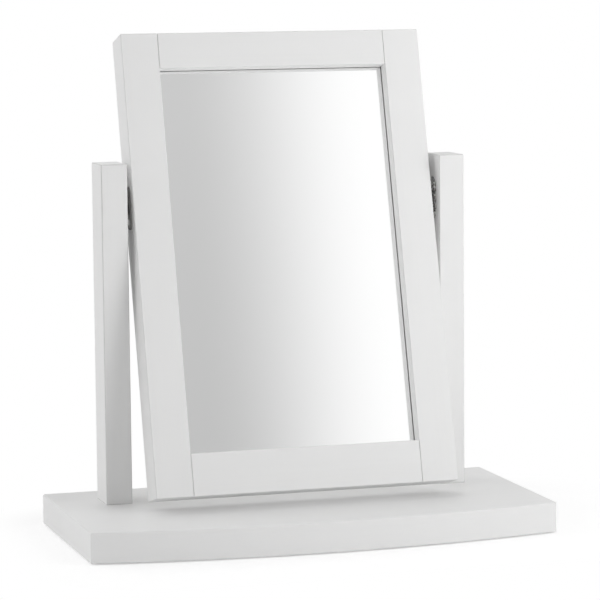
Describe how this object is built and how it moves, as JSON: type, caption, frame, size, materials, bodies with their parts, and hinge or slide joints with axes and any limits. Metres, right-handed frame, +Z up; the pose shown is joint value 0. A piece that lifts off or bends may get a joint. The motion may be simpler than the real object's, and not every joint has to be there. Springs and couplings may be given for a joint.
{
  "type": "dressing table mirror",
  "caption": "Framed mirror that tilts between two square posts on a bow-fronted base board, for a dressing table.",
  "frame": {"origin": "on the table top, under the middle of the base board's length and depth", "axes": "+X to the right as one looks into the mirror, +Y to the back, +Z up"},
  "size_m": [0.5, 0.256, 0.5247],
  "materials": {
    "painted_board": "satin white paint over wood",
    "back_board": "thin white paint over fibreboard",
    "beech": "bare planed hardwood",
    "mirror": "silvered float glass",
    "dark_steel": "dark bronzed steel",
    "zinc_steel": "zinc-plated steel",
    "spring_steel": "oiled spring steel",
    "fibre": "pressed fibre",
    "felt": "pressed felt"
  },
  "bodies": {
    "stand": {"base_board": "painted_board", "base_pads": "felt", "post_left": "painted_board", "post_right": "painted_board", "post_dowels": "beech", "post_screws": "zinc_steel", "post_plate_left": "dark_steel", "post_plate_right": "dark_steel", "post_plate_screws": "zinc_steel", "pivot_bolt_left": "zinc_steel", "pivot_bolt_right": "zinc_steel", "pivot_nut_left": "zinc_steel", "pivot_nut_right": "zinc_steel", "head_washer_left": "zinc_steel", "head_washer_right": "zinc_steel", "friction_washer_left": "fibre", "friction_washer_right": "fibre", "spring_washer_left": "spring_steel", "spring_washer_right": "spring_steel"},
    "mirror": {"stile_left": "painted_board", "stile_right": "painted_board", "rail_top": "painted_board", "rail_bottom": "painted_board", "frame_dowels": "beech", "mirror_glass": "mirror", "bead_top": "beech", "bead_bottom": "beech", "bead_left": "beech", "bead_right": "beech", "back_panel": "back_board", "panel_screws": "zinc_steel", "frame_plate_left": "dark_steel", "frame_plate_right": "dark_steel", "frame_plate_screws": "zinc_steel"}
  },
  "joints": [
    {"name": "mirror_tilt", "type": "hinge", "parent": "stand", "child": "mirror", "pos_m": [0, 0.0625, 0.3432], "axis": [1, 0, 0], "continuous": true}
  ]
}
